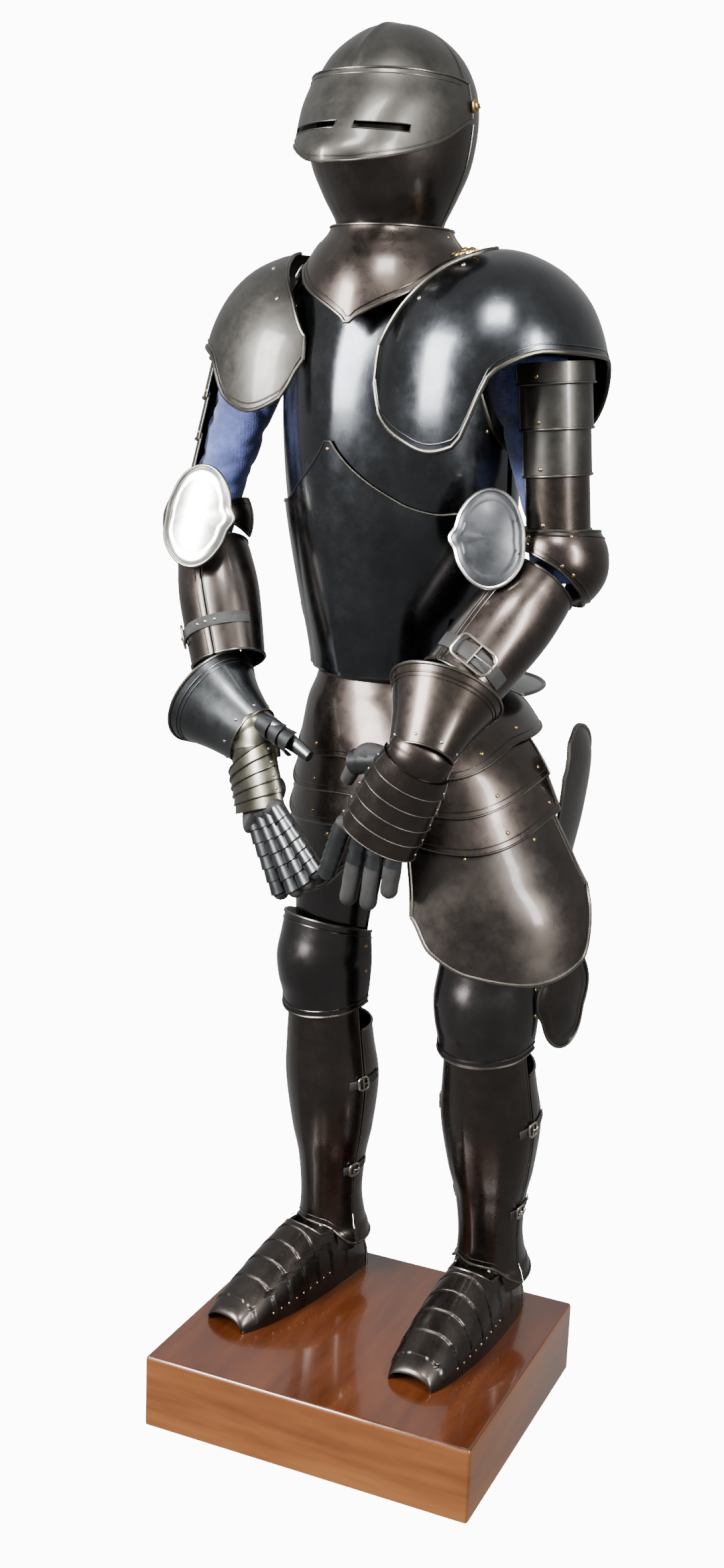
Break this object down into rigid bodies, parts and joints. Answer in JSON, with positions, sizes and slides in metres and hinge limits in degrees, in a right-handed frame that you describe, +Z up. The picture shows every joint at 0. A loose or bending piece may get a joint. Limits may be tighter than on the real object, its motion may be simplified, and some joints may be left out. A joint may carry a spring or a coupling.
{
  "type": "suit of plate armour on a wooden plinth",
  "caption": "Full suit of plate armour with a closed helmet, standing hollow on a square wooden plinth, hands held low in front, with blue arming sleeves showing.",
  "frame": {"origin": "middle of the plinth's underside", "axes": "+Z up. The plinth's long sides run along X and its front is -Y. The suit faces -Y, turned 15 degrees to its own right, and its left side is +X."},
  "size_m": [0.6696, 0.5138, 1.932],
  "materials": {
    "browned_steel": "dark patinated, half polished",
    "blued_steel": "blue-black, polished",
    "bright_steel": "pale, satin",
    "brass": "polished",
    "wood": "glossy varnish",
    "blue_cloth": "matt woven cloth"
  },
  "bodies": {
    "stand": {"backplate": "blued_steel", "breastplate": "blued_steel", "couter_left": "browned_steel", "couter_right": "browned_steel", "couter_wing_left": "bright_steel", "couter_wing_right": "bright_steel", "cuisse_left": "browned_steel", "cuisse_right": "browned_steel", "fauld_1": "browned_steel", "fauld_2": "browned_steel", "fauld_3": "browned_steel", "fingers_left": "browned_steel", "fingers_right": "browned_steel", "gauntlet_cuff_left": "browned_steel", "gauntlet_cuff_right": "browned_steel", "gauntlet_hand_left": "browned_steel", "gauntlet_hand_right": "browned_steel", "gorget_back": "browned_steel", "gorget_front": "browned_steel", "greave_back_left": "browned_steel", "greave_back_right": "browned_steel", "greave_front_left": "browned_steel", "greave_front_right": "browned_steel", "pauldron_left": "blued_steel", "pauldron_right": "blued_steel", "plackart": "blued_steel", "plinth": "wood", "poleyn_left": "browned_steel", "poleyn_right": "browned_steel", "poleyn_wing_left": "browned_steel", "poleyn_wing_right": "browned_steel", "rear_plate_left": "browned_steel", "rear_plate_right": "browned_steel", "rerebrace_left_1": "browned_steel", "rerebrace_left_2": "browned_steel", "rerebrace_left_3": "browned_steel", "rerebrace_left_4": "browned_steel", "rerebrace_right_1": "browned_steel", "rerebrace_right_2": "browned_steel", "rerebrace_right_3": "browned_steel", "rerebrace_right_4": "browned_steel", "sabaton_left": "browned_steel", "sabaton_right": "browned_steel", "skull": "browned_steel", "sleeve_left": "blue_cloth", "sleeve_right": "blue_cloth", "thumb_left": "browned_steel", "thumb_right": "browned_steel", "vambrace_inner_left": "browned_steel", "vambrace_inner_right": "browned_steel", "vambrace_outer_left": "browned_steel", "vambrace_outer_right": "browned_steel", "visor_pivot_left": "brass", "visor_pivot_right": "brass"},
    "bevor": {"bevor": "browned_steel"},
    "visor": {"visor": "browned_steel"},
    "tasset_left": {"tasset_left": "browned_steel"},
    "tasset_right": {"tasset_right": "browned_steel"}
  },
  "joints": [
    {"name": "bevor_lift", "type": "hinge", "parent": "stand", "child": "bevor", "pos_m": [-0.03909, 0.01381, 1.828], "axis": [-0.9945, 0.1045, 0], "range_deg": [0, 40]},
    {"name": "visor_lift", "type": "hinge", "parent": "bevor", "child": "visor", "pos_m": [-0.03909, 0.01381, 1.828], "axis": [-0.9945, 0.1045, 0], "range_deg": [0, 60]},
    {"name": "tasset_left_swing", "type": "hinge", "parent": "stand", "child": "tasset_left", "pos_m": [0.18304, -0.05601, 0.898], "axis": [-0.8026, -0.5965, 0], "range_deg": [0, 10]},
    {"name": "tasset_right_swing", "type": "hinge", "parent": "stand", "child": "tasset_right", "pos_m": [-0.11492, -0.03207, 0.906], "axis": [-0.7422, 0.6701, 0], "range_deg": [0, 8]}
  ]
}
